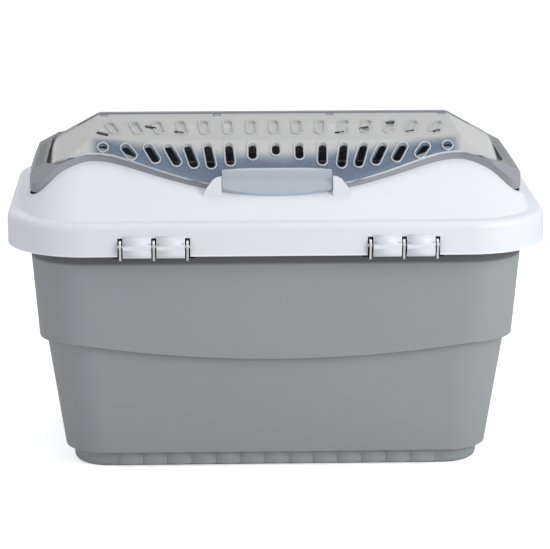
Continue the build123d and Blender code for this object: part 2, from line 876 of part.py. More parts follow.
def hinge_ear(x):
    """One ear: a thin plate that reaches out from the tub's wall to the hinge line."""
    tip = hinge_axis_y - ear_radius
    outline = Polyline(
        (tip + 0.05, hinge_axis_z - 0.6),
        (tip + ear_chamfer, ear_foot + 1.2),
        (tip + ear_chamfer + 1.8, ear_foot),
        (-catch_back, ear_foot),
        (-catch_back, hinge_axis_z + 2),
        (hinge_axis_y, hinge_axis_z + ear_radius - 0.05),
        close=True,
    )
    half = ear_thickness / 2
    arm = Pos(x, 0, 0) * extrude_x(Plane.YZ * make_face(outline), half)
    return arm + cylinder_x(x - half, x + half, hinge_axis_y, hinge_axis_z, ear_radius)


def hinge_bracket(s, tub):
    """Bracket with three ears on the front wall of the tub."""
    x0 = s * (ear_places[0] - bracket_end)
    x1 = s * (ear_places[2] + bracket_end)
    bracket = box_between(x0, x1, -bracket_face, -bracket_back, bracket_bottom, bracket_top)
    for place in ear_places:
        bracket = bracket + hinge_ear(s * place)
    bracket = bracket - tub
    bracket = bracket - cylinder_x(x0 - s, x1 + s, hinge_axis_y, hinge_axis_z, hinge_pin_radius)
    for x in rivet_places(s):
        bracket = bracket - rivet_bar(x, rivet_radius, bracket_back - tub_wall, reach)
    return bracket


def rivet_places(s):
    """Rivets of one bracket, midway between its ears."""
    return [s * (a + b) / 2 for a, b in zip(ear_places, ear_places[1:])]


def rivet_bar(x, radius, y0, y1):
    """Round bar across the front wall between two distances from the middle line."""
    return Pos(x, -(y0 + y1) / 2, rivet_height) * Rot(90, 0, 0) * Cylinder(radius, y1 - y0)


def rivet(x, tub):
    """Rivet through the bracket plate and the tub wall, with a head on both faces."""
    shank = rivet_bar(x, rivet_radius, bracket_back + 2, bracket_face + 0.6)
    outer = rivet_bar(x, rivet_head, bracket_face, bracket_face + 1.4)
    inner = rivet_bar(x, rivet_head, bracket_back + 1.1, bracket_back + 3.1) - tub
    return shank + outer + inner


def hinge_pin(s):
    """Pin through the three ears and two barrels of one hinge."""
    x0 = s * (ear_places[0] - pin_overhang)
    x1 = s * (ear_places[2] + pin_overhang)
    return cylinder_x(x0, x1, hinge_axis_y, hinge_axis_z, hinge_pin_radius)


# The pieces

tub_block = tub_form(0, 0)
base = base_tub()
lid = lid_shell()
front_door = door(-1)
front_flap = flap(-1)
pieces = {
    "base_tub": base,
    "lid_shell": lid,
    "top_frame": top_frame(lid),
    "front_door": front_door,
    "rear_door": mirror(front_door, about=Plane.XZ),
    "front_latch": front_flap,
    "rear_latch": mirror(front_flap, about=Plane.XZ),
}
for front, word in ((-1, "front"), (1, "rear")):
    pieces[word + "_door_rod"] = rod(front)
    for s, hand in ((-1, "left"), (1, "right")):
        pieces[word + "_latch_pin_" + hand] = flap_pin(front, s)
for s, hand in ((-1, "left"), (1, "right")):
    pieces["hinge_bracket_" + hand] = hinge_bracket(s, tub_block)
    pieces["hinge_pin_" + hand] = hinge_pin(s)
    for x, spot in zip(rivet_places(s), ("inner", "outer")):
        pieces["hinge_rivet_" + hand + "_" + spot] = rivet(x, base)
    pieces["rear_clip_" + hand] = rear_clip(s * clip_places[1])
    pieces["clip_pin_" + hand] = clip_pin(s * clip_places[1])

for name, shape in pieces.items():
    export_step(shape, "parts/" + name + ".step")
    box = shape.bounding_box()
    print(name, len(shape.solids()), round(shape.volume), [round(v, 1) for v in (*box.min, *box.max)])
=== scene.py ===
# %% [markdown]
# # A small pet carrier
# The carrier comes from the packed model as a fixed frame: a deep grey tub, a white lid hinged along
# its front edge, a grey frame around the lid's opening and two clear doors with slots.
# This file gives each moulding its finish, adds the small pieces that solids leave out, and sets up
# a white studio around it. Loading the frame comes first, because every piece is placed by it.

# %% Load the frame
import math
import bpy
import bmesh
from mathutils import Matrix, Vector


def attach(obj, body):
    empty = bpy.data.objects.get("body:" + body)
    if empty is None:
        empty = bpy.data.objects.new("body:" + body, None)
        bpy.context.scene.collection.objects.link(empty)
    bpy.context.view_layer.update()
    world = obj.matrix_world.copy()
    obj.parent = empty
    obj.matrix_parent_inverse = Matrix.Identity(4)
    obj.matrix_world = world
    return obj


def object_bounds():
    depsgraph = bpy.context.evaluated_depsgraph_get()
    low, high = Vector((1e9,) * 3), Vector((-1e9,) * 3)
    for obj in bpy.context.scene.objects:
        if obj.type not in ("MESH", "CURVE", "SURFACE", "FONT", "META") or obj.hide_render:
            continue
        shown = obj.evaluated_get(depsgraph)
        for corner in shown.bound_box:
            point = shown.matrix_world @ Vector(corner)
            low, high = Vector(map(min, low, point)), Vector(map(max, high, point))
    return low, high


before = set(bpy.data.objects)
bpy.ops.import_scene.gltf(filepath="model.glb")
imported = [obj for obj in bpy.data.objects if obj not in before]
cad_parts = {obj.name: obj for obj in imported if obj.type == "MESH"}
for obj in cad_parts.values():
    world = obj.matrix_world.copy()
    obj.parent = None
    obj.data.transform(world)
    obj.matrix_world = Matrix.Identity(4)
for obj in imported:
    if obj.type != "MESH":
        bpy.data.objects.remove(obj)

cad_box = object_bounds()
scene = bpy.context.scene
print("box:", [[round(v, 4) for v in corner] for corner in cad_box])

# %% [markdown]
# ## Writing shader maths as sums
# A finish is mostly small sums of noise: a grain, a slow change in gloss, a darker edge. Wiring each
# sum by hand hides it among nodes, so one small class wraps a socket and lets Python's own signs add
# the Math nodes. Colours are mixed with a Mix node, because a Math node would turn them grey.

# %% A socket that can be added and multiplied
class Wire:
    """One output socket of a node graph, usable in an expression."""

    def __init__(self, graph, socket):
        self.graph = graph
        self.socket = socket

    def sum(self, operation, first, second=0.0):
        return self.graph.add("ShaderNodeMath", {"operation": operation}, {0: first, 1: second})

    def __add__(self, other):
        return self.sum("ADD", self, other)

    def __radd__(self, other):
        return self.sum("ADD", other, self)

    def __sub__(self, other):
        return self.sum("SUBTRACT", self, other)

    def __rsub__(self, other):
        return self.sum("SUBTRACT", other, self)

    def __mul__(self, other):
        return self.sum("MULTIPLY", self, other)

    def __rmul__(self, other):
        return self.sum("MULTIPLY", other, self)

    def __abs__(self):
        return self.sum("ABSOLUTE", self)

    def clamp(self, low, high):
        return self.sum("MINIMUM", self.sum("MAXIMUM", self, low), high)

    def step(self, low, high):
        """0 below the first value, 1 above the second, with a soft change between."""
        ends = {"Value": self, "From Min": low, "From Max": high}
        return self.graph.add("ShaderNodeMapRange", {"interpolation_type": "SMOOTHSTEP"}, ends)


print("signs that work from the right:", [name for name in vars(Wire) if name.startswith("__r")])

# %% [markdown]
# ## One builder for all node graphs
# Each finish has one Principled shader. The builder adds any node from its type, its settings and
# its sockets, in that order, because a setting such as the data type decides which sockets exist.
# Positions come from the object's own coordinates, in metres, so a finish can be told where the
# hinge slots or the door's lower edge are. They need no unwrapped image and follow a moving part.

# %% The graph builder
class Graph:
    """A node tree that is filled from code."""

    def __init__(self, tree):
        self.tree = tree
        self.tree.nodes.clear()

    def feed(self, node, name, value):
        if isinstance(value, Wire):
            self.tree.links.new(value.socket, node.inputs[name])
        else:
            node.inputs[name].default_value = value

    def add(self, kind, settings, inputs, output=0):
        node = self.tree.nodes.new(kind)
        for name, value in settings.items():
            setattr(node, name, value)
        for name, value in inputs.items():
            self.feed(node, name, value)
        return Wire(self, node.outputs[output]) if len(node.outputs) else None


class Finish(Graph):
    """A material with one Principled shader."""

    def __init__(self, name):
        self.material = bpy.data.materials.new(name)
        self.material.use_nodes = True
        super().__init__(self.material.node_tree)
        output = self.tree.nodes.new("ShaderNodeOutputMaterial")
        self.skin = self.tree.nodes.new("ShaderNodeBsdfPrincipled")
        self.tree.links.new(self.skin.outputs["BSDF"], output.inputs["Surface"])
        self.place = self.add("ShaderNodeTexCoord", {}, {}, "Object")

    def axis(self, letter, vector=None):
        return self.add("ShaderNodeSeparateXYZ", {}, {"Vector": vector or self.place}, letter)

    def facing(self, letter):
        """How far the surface faces along an axis, from -1 to 1."""
        return self.axis(letter, self.add("ShaderNodeNewGeometry", {}, {}, "Normal"))

    def noise(self, scale, detail=2.0, roughness=0.5):
        sockets = {"Vector": self.place, "Scale": scale, "Detail": detail, "Roughness": roughness}
        return self.add("ShaderNodeTexNoise", {}, sockets, "Fac")

    def mix(self, factor, first, second):
        return self.add("ShaderNodeMix", {"data_type": "RGBA"}, {0: factor, 6: first, 7: second}, 2)

    def bump(self, height, distance, strength=1.0):
        sockets = {"Height": height, "Distance": distance, "Strength": strength}
        return self.add("ShaderNodeBump", {}, sockets, "Normal")

    def set(self, **values):
        for name, value in values.items():
            self.feed(self.skin, name.replace("_", " "), value)
        return self


def linear(red, green, blue):
    """Scene colour of a screen colour given from 0 to 255."""
    channels = []
    for value in (red, green, blue):
        v = value / 255
        channels.append(v / 12.92 if v <= 0.04045 else ((v + 0.055) / 1.055) ** 2.4)
    return (*channels, 1.0)


def shade(colour, factor):
    """The same colour, darker below 1 and lighter above."""
    return tuple(min(1.0, c * factor) for c in colour[:3]) + (1.0,)


print("white plastic in scene colour:", [round(v, 3) for v in linear(236, 240, 244)])

# %% [markdown]
# ## Moulded plastic
# Tub, lid and frame are polypropylene. A spark-eroded mould gives the tub a fine grain that scatters
# light and hides scuffs, while the lid is nearly smooth. Two noises make the grain as a bump, and slow
# noises change the gloss and the tone a little, as the melt does when it fills a deep mould. A
# photograph of cast grain would repeat over so large a wall, and a plain shader looks like paint.

# %% The recipe for moulded plastic
class Moulding(Finish):
    """Moulded plastic: fine grain, slow change in gloss and a faint mottle."""

    def __init__(self, name, colour, gloss, grain, grain_size, mottle):
        super().__init__(name)
        fine = self.noise(1000 / grain_size, 2.0, 0.55)
        coarse = self.noise(320 / grain_size, 3.0, 0.6)
        flow = self.noise(9.0, 3.0, 0.5)
        cloud = self.noise(38.0, 2.0, 0.5)
        tone = (flow * 0.6 + cloud * 0.25 + fine * 0.15).clamp(0.0, 1.0)
        self.colour = self.mix(tone, shade(colour, 1 - mottle), shade(colour, 1 + mottle))
        self.set(
            Base_Color=self.colour,
            Roughness=(gloss + (flow - 0.5) * 0.10 + (fine - 0.5) * 0.08).clamp(0.05, 0.95),
            Normal=self.bump(fine * 0.65 + coarse * 0.35, grain),
            IOR=1.49,
        )

    def paint(self, mask, colour):
        """Lay another tone over the colour wherever the mask is 1."""
        self.colour = self.mix(mask, self.colour, colour)
        self.set(Base_Color=self.colour)


# %% [markdown]
# ## The tub
# The grey of the tub gets a dark line along its step: painted shade for a soft groove that dips
# in the middle. The line follows the same arc as the step, so it is a mask from two positions and
# needs no extra geometry. A second dark band, a painted shadow, lies under the lid's skirt, where no
# light gets in.

# %% Tub finish
STEP_LOW, STEP_RISE, STEP_REACH = 0.1112, 0.0142, 0.18
SHADE_LOW, SHADE_HIGH = 0.2030, 0.2150
tub_finish = Moulding("tub_grey_grain", linear(151, 154, 157), 0.52, 0.00012, 0.9, 0.03)
along = abs(tub_finish.axis("X")).clamp(0.0, STEP_REACH)
step_line = along * along * (STEP_RISE / STEP_REACH ** 2) + STEP_LOW
away = abs(tub_finish.axis("Z") - step_line)
# Painted shade: a dark line along the step's groove.
tub_finish.paint((1 - away.step(0.0002, 0.0019)) * 0.55, linear(84, 86, 90))
tub_height = tub_finish.axis("Z")
above_foot = tub_height.step(SHADE_LOW, SHADE_LOW + 0.0035)
below_head = 1 - tub_height.step(SHADE_HIGH - 0.0025, SHADE_HIGH)
rim_shade_mask = above_foot * below_head
# Painted shadow: the tub is made darker in a band under the lid's skirt.
tub_finish.paint(rim_shade_mask * 0.72, linear(52, 52, 56))
print("tub finish nodes:", len(tub_finish.tree.nodes))

# %% [markdown]
# ## The lid
# The lid is white with a trace of blue. Two places get painted light. The slots for the hinge ears
# are deep and never see the light, so their walls get painted shade. The skirt's lowest edge is thin,
# so light shines through it, and a painted highlight makes it look brighter.

# %% Lid finish
EAR_PLACES = (0.083, 0.1135, 0.144)
EAR_SLOT_HALF, EAR_SLOT_TOP, EAR_SLOT_BACK = 0.0024, 0.2341, -0.1501
lid_finish = Moulding("lid_white_satin", linear(229, 232, 239), 0.38, 0.00003, 0.8, 0.008)
across = lid_finish.axis("Y")
height = lid_finish.axis("Z")
painted_edge_highlight = 1 - height.step(0.2176, 0.2190)
# Painted highlight: the skirt's lowest edge is made paler.
lid_finish.paint(painted_edge_highlight * 0.8, linear(250, 251, 253))
for place in EAR_PLACES:
    near = abs(abs(lid_finish.axis("X")) - place)
    below_top = 1 - height.step(EAR_SLOT_TOP, EAR_SLOT_TOP + 0.0003)
    in_skirt = below_top * (1 - across.step(EAR_SLOT_BACK, EAR_SLOT_BACK + 0.0002))
    in_slot = 1 - near.step(EAR_SLOT_HALF - 0.00002, EAR_SLOT_HALF + 0.00003)
    # Painted shade: the walls of the ear slots are made near black.
    lid_finish.paint(in_slot * in_skirt, linear(14, 14, 16))
print("lid finish nodes:", len(lid_finish.tree.nodes))

# %% [markdown]
# ## The grey frame
# The frame is the same plastic in a warmer grey. Its grips look darker on top than in front, and
# that darker top is painted shade. The mask reads how far a face looks up, so the change falls on the
# edge between the two facets.

# %% Frame finish
frame_finish = Moulding("frame_grey_satin", linear(149, 148, 156), 0.44, 0.00007, 0.8, 0.02)
shaded_top = frame_finish.facing("Z").step(0.80, 0.87)
outside = abs(frame_finish.axis("X")).step(0.196, 0.212)
# Painted shade: the tops of the grips are made darker.
frame_finish.paint(shaded_top * outside * 0.95, linear(104, 105, 106))
print("frame finish nodes:", len(frame_finish.tree.nodes))

# %% [markdown]
# ## Clear doors
# The doors are clear plastic with a light haze, 2.2 mm thick. Their upper panels look pale grey, and
# you see little through them. Lower down the plastic is clearer, so the dark cabin shows through and
# the dye reads as blue-grey. The border between the two is an arc that runs lower in the middle. A
# see-through shader whose alpha and colour change along that arc gives both halves. The paler, less
# see-through upper half is painted light, standing in for the lit far side seen through the doors.
# A weak ripple keeps its reflections from being perfect. The flaps are thicker and paler, and
# brightest at their bowed top, where a painted highlight lies.

# %% Door finish
BORDER_MIDDLE, BORDER_BOW = 0.0870, 0.82


class ClearPlastic(Finish):
    """Dyed clear plastic with a soft ripple, clearer below an arc and, as painted light, paler and less
    see-through above it.
    """

    def __init__(self, name, painted_lit_colour, painted_lit_alpha, clear_colour, clear_alpha, gloss):
        super().__init__(name)
        ripple = self.noise(26.0, 2.0, 0.45)
        cloud = self.noise(70.0, 3.0, 0.6)
        fine = self.noise(600.0, 2.0, 0.5)
        across = abs(self.axis("Y"))
        along = abs(self.axis("X"))
        border = BORDER_MIDDLE - along * along * BORDER_BOW + (ripple - 0.5) * 0.006
        clear = (across - border).step(-0.0085, 0.0075) * (1 - along.step(0.162, 0.176))
        # Painted light: above the arc the colour is paler and the alpha higher.
        tint = self.mix(clear, painted_lit_colour, clear_colour)
        darker = self.mix(0.05, tint, (0, 0, 0, 1))
        lighter = self.mix(0.07, tint, (1, 1, 1, 1))
        self.tint = self.mix(ripple * 0.6 + cloud * 0.4, darker, lighter)
        self.set(
            Base_Color=self.tint,
            Roughness=(gloss + (ripple - 0.5) * 0.06 + (fine - 0.5) * 0.04).clamp(0.02, 0.9),
            Normal=self.bump(ripple * 0.8 + cloud * 0.06 + fine * 0.02, 0.0006),
            Alpha=painted_lit_alpha + (clear_alpha - painted_lit_alpha) * clear,
            IOR=1.5,
        )


door_finish = ClearPlastic(
    "door_clear_smoke",
    painted_lit_colour=linear(212, 212, 210),
    painted_lit_alpha=0.75,
    clear_colour=linear(106, 128, 158),
    clear_alpha=0.50,
    gloss=0.13,
)
flap_finish = ClearPlastic(
    "flap_clear_smoke",
    painted_lit_colour=linear(196, 204, 212),
    painted_lit_alpha=0.80,
    clear_colour=linear(180, 192, 206),
    clear_alpha=0.74,
    gloss=0.16,
)
down_flap = abs(flap_finish.axis("Y"))
# Painted highlight: the flap's bowed top is made paler.
painted_top_highlight = (1 - down_flap.step(0.1040, 0.1100)) * 0.75
bright_foot = down_flap.step(0.1150, 0.1200) * 0.45
band = flap_finish.mix(painted_top_highlight, flap_finish.tint, linear(236, 237, 243))
flap_finish.set(Base_Color=flap_finish.mix(bright_foot, band, linear(216, 224, 232)))
print("door finish nodes:", len(door_finish.tree.nodes))

# %% [markdown]
# ## Frosted edges
# Where clear plastic is thick or rounded it gathers light and looks almost white. The rings around
# the slots and the lip of the doors are such places. They get a paler, less see-through plastic with
# a fine bump, close to sanded glass, and that paleness is partly painted highlight. The same recipe
# in near black serves the dark slits as painted shade.

# %% Frost finish
def frosted(name, dull, bright, alpha):
    """Clear plastic with a fine bump, between two tones."""
    finish = Finish(name)
    grains = finish.noise(900.0, 2.0, 0.6)
    drift = finish.noise(60.0, 2.0, 0.5)
    finish.set(
        Base_Color=finish.mix(drift, dull, bright),
        Roughness=(0.28 + (grains - 0.5) * 0.12).clamp(0.05, 0.9),
        Normal=finish.bump(grains, 0.00004),
        Alpha=(alpha + (drift - 0.5) * 0.12).clamp(0.0, 1.0),
        IOR=1.5,
    )
    return finish


# Partly painted highlight: pale, less see-through plastic for the rings and the lips.
frost = frosted("frosted_edge", linear(204, 207, 211), linear(222, 225, 229), 0.80)
quiet_frost = frosted("quiet_edge", linear(196, 197, 197), linear(208, 209, 209), 0.55)
# Painted shade: a near black finish for the slits.
painted_slit_shade = frosted("painted_slit_shade", linear(20, 20, 22), linear(40, 40, 42), 0.88)
print("frost:", [finish.material.name for finish in (frost, quiet_frost, painted_slit_shade)])

# %% [markdown]
# ## Zinc-plated steel
# The ears, pins and rivets are thin steel with a bright zinc coat. Zinc is a little blotchy and never
# as sharp as chrome, so its roughness follows a medium noise and a faint bump. The hinge plate lies
# behind the lid's skirt in deep shade, and the ears' flanks are shaded inside their slots. Both get
# painted shade in near black, so only the bright edges of the ears catch the light.

# %% The steel finish
def zinc_steel(name, gloss, dark_behind, dark_flanks):
    """Plated steel with a blotchy coat and painted shade behind a distance from the middle and on its
    flanks.
    """
    finish = Finish(name)
    blotch = finish.noise(180.0, 3.0, 0.55)
    scratch = finish.noise(2400.0, 1.0, 0.5)
    bright = finish.mix(blotch, linear(226, 226, 224), linear(206, 206, 204))
    behind = finish.axis("Y").step(dark_behind, dark_behind + 0.002)
    flank = abs(finish.facing("X")).step(0.75, 0.85) * dark_flanks
    painted_shade_mask = (behind + flank).clamp(0.0, 1.0)
    finish.set(
        # Painted shade: the plate behind the skirt and the ears' flanks are made near black.
        Base_Color=finish.mix(painted_shade_mask, bright, linear(22, 22, 24)),
        Metallic=1.0,
        Roughness=(gloss + (blotch - 0.5) * 0.16 + (scratch - 0.5) * 0.06).clamp(0.05, 0.9),
        Normal=finish.bump(blotch * 0.4 + scratch * 0.1, 0.00003),
    )
    return finish


steel_finish = zinc_steel("zinc_steel", 0.30, 0.5, 0.0)
bracket_finish = zinc_steel("hinge_steel", 0.34, -0.1640, 1.0)
print("steel:", steel_finish.material.name, bracket_finish.material.name)

# %% [markdown]
# ## Giving each moulding its finish
# A node from the frame keeps its mesh. Only the material in its slots changes.

# %% Finishes on the nodes
FINISH_OF = {
    "base_tub": tub_finish,
    "lid_shell": lid_finish,
    "top_frame": frame_finish,
    "front_door": door_finish,
    "rear_door": door_finish,
    "front_latch": flap_finish,
    "rear_latch": flap_finish,
    "rear_clip_left": frame_finish,
    "rear_clip_right": frame_finish,
    "hinge_bracket_left": bracket_finish,
    "hinge_bracket_right": bracket_finish,
}
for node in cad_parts:
    finish = FINISH_OF.get(node, steel_finish)
    for slot in bpy.data.objects[node].material_slots:
        slot.material = finish.material
print("finished nodes:", len(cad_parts))

# %% [markdown]
# ## The shape of the doors, again
# The small pieces on the doors need to know how high the clear surface is at any spot. It is the
# lower of two surfaces: one slopes from the ridge to the front and rear, the other falls away at
# the ends. Written once as a function, it places the rings and the lips exactly on the plastic.

# %% Height of the clear surface
END_PROFILE = (
    (0.0, 0.3230), (0.158, 0.3230), (0.1655, 0.3217), (0.172, 0.3186),
    (0.1995, 0.3034), (0.207, 0.2980), (0.2118, 0.2895),
)
EDGE_PROFILE = (
    (0.0, 0.2679), (0.038, 0.2681), (0.065, 0.2693), (0.087, 0.2730), (0.107, 0.2773),
    (0.135, 0.2840), (0.152, 0.2876), (0.168, 0.2892),
)
RIDGE_HEIGHT, CREASE_PLACE, CREASE_HEIGHT, SIDE_SLOPE, END_FALL = 0.322, 0.0685, 0.306, 0.68, 0.15
SLOPE_FOOT, LEDGE_HEIGHT, LID_SLOPE, DOOR_OVERHANG = 0.150, 0.247, 0.6, 0.0008


def along_line(line, x):
    """Height of a broken line at a distance from the middle."""
    x = abs(x)
    for (xa, za), (xb, zb) in zip(line, line[1:]):
        if x <= xb:
            return za + (zb - za) * (x - xa) / (xb - xa)
    return line[-1][1]


def door_height(x, y):
    """Height of the doors' outer surface over a spot."""
    y = abs(y)
    if y < CREASE_PLACE:
        side = RIDGE_HEIGHT - y * (RIDGE_HEIGHT - CREASE_HEIGHT) / CREASE_PLACE
    else:
        side = CREASE_HEIGHT - SIDE_SLOPE * (y - CREASE_PLACE)
    return min(side, along_line(END_PROFILE, x) - END_FALL * y)


def door_edge(x):
    """Distance of the doors' lower edge from the middle line."""
    return SLOPE_FOOT - (along_line(EDGE_PROFILE, x) - LEDGE_HEIGHT) / LID_SLOPE + DOOR_OVERHANG


places = (0, CREASE_PLACE, door_edge(0))
print("ridge, crease, edge:", [round(door_height(0, y), 4) for y in places])

# %% [markdown]
# ## Sweeping a small section along a path
# Rings, lips and ribs are all one section moved along a path. The path gives a point and a sideways
# direction, the section gives steps sideways and up. A closed path joins its last section to its
# first, and an open one gets a cap at each end, so every piece is a closed skin.

# %% A swept piece
def swept(points, sides, section, closed, height_of):
    """Vertices and faces of a section moved along a path."""
    vertices = []
    faces = []
    width = len(section)
    for (x, y), (sx, sy) in zip(points, sides):
        for off, rise in section:
            vx = x + sx * off
            vy = y + sy * off
            vertices.append((vx, vy, height_of(vx, vy) + rise))
    count = len(points)
    for i in range(count if closed else count - 1):
        a = i * width
        b = (i + 1) % count * width
        for j in range(width):
            k = (j + 1) % width
            faces.append((a + j, a + k, b + k, b + j))
    if not closed:
        faces.append(tuple(range(width))[::-1])
        faces.append(tuple((count - 1) * width + j for j in range(width)))
    return vertices, faces


def join(parts):
    """One list of vertices and faces from several."""
    vertices = []
    faces = []
    for more_vertices, more_faces in parts:
        start = len(vertices)
        vertices += more_vertices
        faces += [tuple(start + i for i in face) for face in more_faces]
    return vertices, faces


def new_piece(name, parts, finish, body):
    """Make an object from swept parts that moves with a body."""
    vertices, faces = join(parts)
    mesh = bpy.data.meshes.new(name)
    mesh.from_pydata(vertices, [], faces)
    shape = bmesh.new()
    shape.from_mesh(mesh)
    bmesh.ops.recalc_face_normals(shape, faces=shape.faces)
    shape.to_mesh(mesh)
    shape.free()
    mesh.shade_smooth()
    mesh.materials.append(finish.material)
    piece = bpy.data.objects.new(name, mesh)
    scene.collection.objects.link(piece)
    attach(piece, body)
    print(name, len(mesh.vertices), "vertices on", body)


# %% [markdown]
# ## Rings around the slots
# Each slot has a raised ring, bright against the clear plastic. The slots fan out: they stand upright
# in the middle and lean more towards the ends. The lower row is open and bright. The upper row is
# blind, with rings that hardly show. A ring is a rounded section on the slot's outline, set on the
# small rise that the door already has there.

# %% Slot rings
SLOT_RADIUS = 0.0037
LOWER_SLOTS = (
    (0.0, 14.5, 0), (21.8, 20.0, 0), (43.2, 28.0, 4), (62.0, 32.0, 9), (79.3, 31.5, 17),
    (96.3, 29.0, 26), (115.5, 25.0, 28), (137.0, 20.0, 36), (161.0, 7.2, 48),
)
UPPER_SLOTS = (
    (0.0, 31.0, 0), (21.5, 31.0, 0), (43.5, 31.0, 2), (66.0, 31.0, 4), (87.5, 30.0, 7),
    (109.5, 29.0, 10), (130.5, 28.0, 13), (153.0, 26.0, 17),
)
LOWER_TOP, LOWER_SHIFT, LOWER_SHARE, LOWER_EXTRA, SHORTEST = 73, 0.40, 0.80, 1.4, 8.0
UPPER_MIDDLE, UPPER_SHARE = 39.5, 0.95
RING_OUTER, RIM_RISE = 0.0018, 0.00078
lower_row = []
for place, size, lean in LOWER_SLOTS:
    overall = max(LOWER_SHARE * size + LOWER_EXTRA, SHORTEST)
    lower_row.append((place, LOWER_TOP + LOWER_SHIFT * size, overall, lean))
upper_row = [(place, UPPER_MIDDLE, UPPER_SHARE * size, lean) for place, size, lean in UPPER_SLOTS]


def ring_section(inner, crown):
    """Half-round section of a ring, from its inner edge to the edge of the rise below it."""
    arch = [math.sin(math.pi * t / 6) for t in range(7)]
    top = [(inner + (RING_OUTER - inner) * t / 6, RIM_RISE + crown * bow) for t, bow in enumerate(arch)]
    return top + [(RING_OUTER, 0.0001), (inner, 0.0001)]


def slot_path(x, y, overall, turn, radius=SLOT_RADIUS, steps=10):
    """Outline of one slot and its outward directions."""
    straight = overall / 2 - radius
    points = []
    sides = []
    for end in (1, -1):
        for i in range(steps + 1):
            angle = turn + math.pi * (i / steps - 0.5) + (0 if end > 0 else math.pi)
            side = (math.cos(angle), math.sin(angle))
            middle_x = x + end * straight * math.cos(turn)
            middle_y = y + end * straight * math.sin(turn)
            points.append((middle_x + side[0] * radius, middle_y + side[1] * radius))
            sides.append(side)
    return points, sides


def rings(row, front, section):
    """Rings of one row of slots on one door."""
    found = []
    for place, middle, overall, lean in row:
        for s in (1, -1) if place else (1,):
            turn = math.radians(90 + front * s * lean)
            path = slot_path(s * place / 1000, front * middle / 1000, overall / 1000, turn)
            found.append(swept(*path, section, True, door_height))
    return found


bold_section = ring_section(0.0006, 0.0005)
faint_section = ring_section(0.0009, 0.0001)
for front, word in ((-1, "front"), (1, "rear")):
    body = word + "_door_body"
    new_piece(word + "_slot_rings", rings(lower_row, front, bold_section), frost, body)
    new_piece(word + "_blind_rings", rings(upper_row, front, faint_section), quiet_frost, body)

# %% [markdown]
# ## Small dark slits
# Eight short slits lie among the upper slots, darker than anything around them. They are too small
# to look into, so each is a thin dark lozenge of painted shade laid on the clear panel.

# %% Slits on the upper panels
SLITS = (
    (-162.0, 52.6, 13.0, 3.6, 31), (-117.0, 38.5, 11.5, 3.6, 27), (-90.0, 50.6, 10.0, 3.2, 27),
    (61.0, 52.6, 9.0, 2.4, -12), (84.7, 42.5, 9.5, 3.2, -27), (110.0, 30.4, 9.5, 3.2, -20),
    (128.0, 50.6, 9.0, 2.6, -27), (152.6, 50.6, 8.5, 3.6, -30),
)


def slit(x, y, overall, width, turn):
    """Thin closed plate with a slot's outline, just proud of the clear panel."""
    outline = slot_path(x, y, overall, turn, width / 2, 6)[0]
    count = len(outline)
    vertices = [(vx, vy, door_height(vx, vy) + rise) for rise in (0.0001, 0.0009) for vx, vy in outline]
    faces = [tuple(range(count))[::-1], tuple(range(count, 2 * count))]
    faces += [(i, (i + 1) % count, count + (i + 1) % count, count + i) for i in range(count)]
    return vertices, faces


for front, word in ((-1, "front"), (1, "rear")):
    slits = []
    for x, y, overall, width, lean in SLITS:
        turn = math.radians(front * lean)
        slits.append(slit(x / 1000, front * y / 1000, overall / 1000, width / 1000, turn))
    new_piece(word + "_slits", slits, painted_slit_shade, word + "_door_body")

# %% [markdown]
# ## Lips along the doors' lower edge
# The wavy lower edge of each door ends in a small rounded lip, a bright line in the photograph. It
# runs from the flap out to each corner and a little around it.

# %% Door lips
CORNER = ((0.177, 0.0802), (0.185, 0.0826), (0.192, 0.0832), (0.199, 0.0812), (0.205, 0.0764))
LIP_HALF_WIDTH, LIP_HALF_HEIGHT, LIP_DROP, LIP_INSET = 0.0006, 0.0010, 0.0012, 0.0002
lip_section = []
for t in range(10):
    turn = math.tau * t / 10
    lip_section.append((LIP_HALF_WIDTH * math.cos(turn), -LIP_DROP + LIP_HALF_HEIGHT * math.sin(turn)))


def lip_path(s, front):
    """Points along the lower edge of one door half, with directions pointing out."""
    edge = [(x / 1000, door_edge(x / 1000)) for x in range(53, 167, 3)]
    edge += [(x, y + DOOR_OVERHANG) for x, y in CORNER]
    points = []
    sides = []
    for i, (x, y) in enumerate(edge):
        xa, ya = edge[max(i - 1, 0)]
        xb, yb = edge[min(i + 1, len(edge) - 1)]
        across = Vector((-(yb - ya), xb - xa)).normalized()
        points.append((s * (x - across.x * LIP_INSET), front * (y - across.y * LIP_INSET)))
        sides.append((s * across.x, front * across.y))
    return points, sides


for front, word in ((-1, "front"), (1, "rear")):
    lips = [swept(*lip_path(s, front), lip_section, False, door_height) for s in (-1, 1)]
    new_piece(word + "_door_lip", lips, frost, word + "_door_body")

# %% [markdown]
# ## Hinge tabs
# Between its ears each hinge shows the lid's barrels as flat white tabs that hang a little below the
# skirt. They are a flattened tube around the hinge line, so they turn with the lid and clear the tub.

# %% Tabs over the barrels
HINGE_Y, HINGE_Z = -0.1630, 0.2258
TAB_HALF_DEPTH, TAB_HALF_HEIGHT, TAB_SQUARENESS, TAB_GAP = 0.0084, 0.0102, 0.75, 0.0024
tab_finish = Moulding("hinge_tab_white", linear(226, 229, 236), 0.36, 0.00003, 0.8, 0.008)
tab_along = abs(tab_finish.axis("X"))
tab_height = tab_finish.axis("Z")
for place in EAR_PLACES:
    gap = abs(tab_along - place)
    mark = gap.step(0.0027, 0.0030) * (1 - gap.step(0.0052, 0.0056))
    level = 1 - abs(tab_height - 0.2302).step(0.0003, 0.0006)
    tab_finish.paint(mark * level * 0.7, linear(120, 122, 128))
    # Painted highlight: the tabs' ends next to the ears are made paler.
    tab_finish.paint((1 - gap.step(0.0026, 0.0034)) * 0.8, linear(250, 251, 253))
# Painted highlight: the tabs' lower edge is made paler.
tab_finish.paint((1 - tab_height.step(0.2166, 0.2176)) * 0.8, linear(250, 251, 253))


